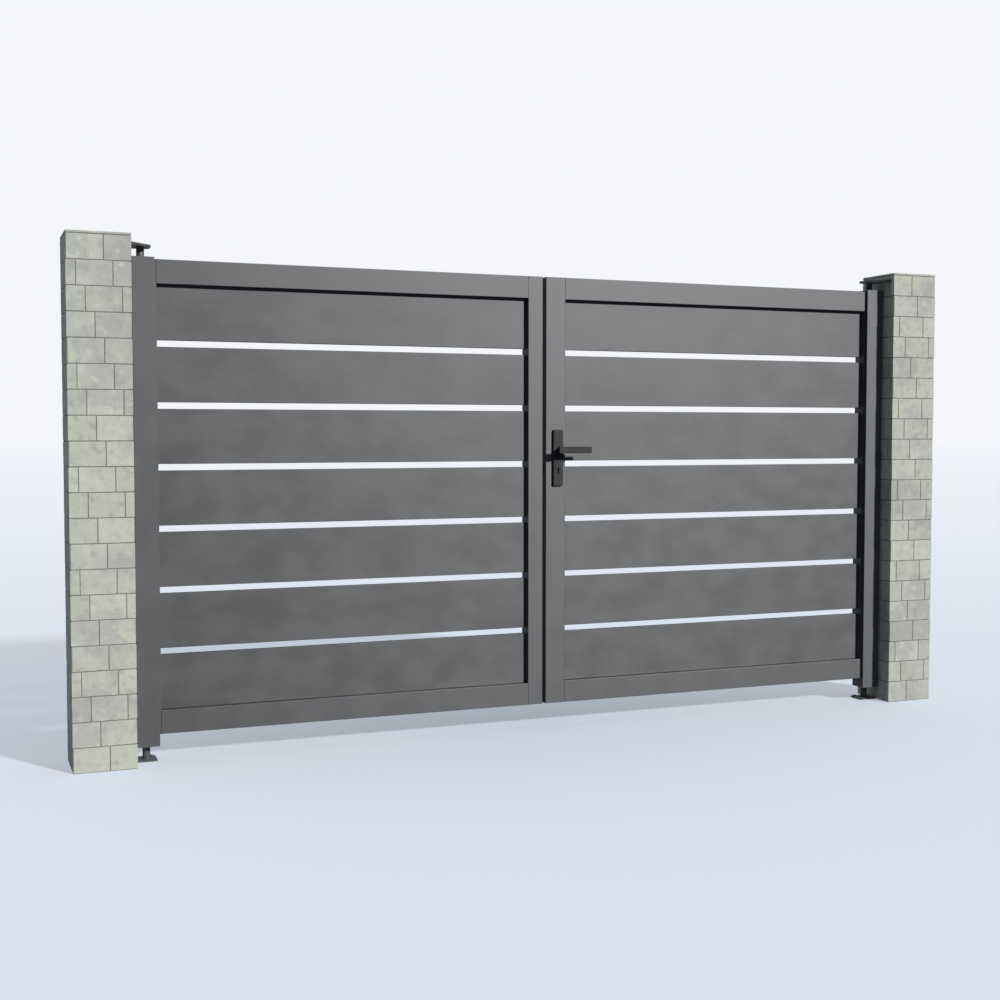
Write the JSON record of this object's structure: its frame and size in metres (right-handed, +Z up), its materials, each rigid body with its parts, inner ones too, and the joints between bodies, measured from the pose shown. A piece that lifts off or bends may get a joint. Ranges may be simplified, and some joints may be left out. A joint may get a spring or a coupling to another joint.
{
  "type": "double swing driveway gate",
  "caption": "Double swing driveway gate: plank-filled metal leaves with see-through slots, turning on pivot pins between square stone pillars, one with a lever handle.",
  "frame": {"origin": "middle of the left pillar's base, on the ground", "axes": "+X along the gate to the right pillar, +Y from the street to the drive, +Z up"},
  "size_m": [3.444, 0.207, 1.7665],
  "materials": {
    "stone": "split stone blocks",
    "frame_coat": "fine-textured anthracite powder coat",
    "plank_coat": "fine-textured anthracite powder coat",
    "hardware": "dark grey painted steel",
    "handle_coat": "satin black powder coat",
    "lock_steel": "brushed steel"
  },
  "bodies": {
    "root": {"left_pillar": "stone", "left_top_bracket": "hardware", "left_ground_plate": "hardware", "left_top_pin": "hardware", "left_bottom_pin": "hardware", "right_pillar": "stone", "right_top_bracket": "hardware", "right_ground_plate": "hardware", "right_top_pin": "hardware", "right_bottom_pin": "hardware"},
    "left_leaf": {"left_hinge_stile": "frame_coat", "left_top_rail": "frame_coat", "left_bottom_rail": "frame_coat", "left_meeting_stile": "frame_coat", "left_plank_1": "plank_coat", "left_plank_2": "plank_coat", "left_plank_3": "plank_coat", "left_plank_4": "plank_coat", "left_plank_5": "plank_coat", "left_plank_6": "plank_coat", "left_plank_7": "plank_coat", "strike_plate": "lock_steel"},
    "right_leaf": {"right_hinge_stile": "frame_coat", "right_top_rail": "frame_coat", "right_bottom_rail": "frame_coat", "right_meeting_stile": "frame_coat", "right_plank_1": "plank_coat", "right_plank_2": "plank_coat", "right_plank_3": "plank_coat", "right_plank_4": "plank_coat", "right_plank_5": "plank_coat", "right_plank_6": "plank_coat", "right_plank_7": "plank_coat", "lock_case": "lock_steel", "front_handle_plate": "handle_coat", "back_handle_plate": "handle_coat"},
    "lever": {"front_lever": "handle_coat", "back_lever": "handle_coat", "spindle": "lock_steel"}
  },
  "joints": [
    {"name": "left_leaf_swing", "type": "hinge", "parent": "root", "child": "left_leaf", "pos_m": [0.1455, 0.008, 0], "axis": [0, 0, 1], "range_deg": [0, 90]},
    {"name": "right_leaf_swing", "type": "hinge", "parent": "root", "child": "right_leaf", "pos_m": [3.0915, 0.008, 0], "axis": [0, 0, -1], "range_deg": [0, 90]},
    {"name": "lever_turn", "type": "hinge", "parent": "right_leaf", "child": "lever", "pos_m": [1.6615, 0.0005, 1.051], "axis": [0, 1, 0], "range_deg": [0, 40], "stiffness_Nm_per_rad": 1.5, "springref_deg": -40.11}
  ]
}
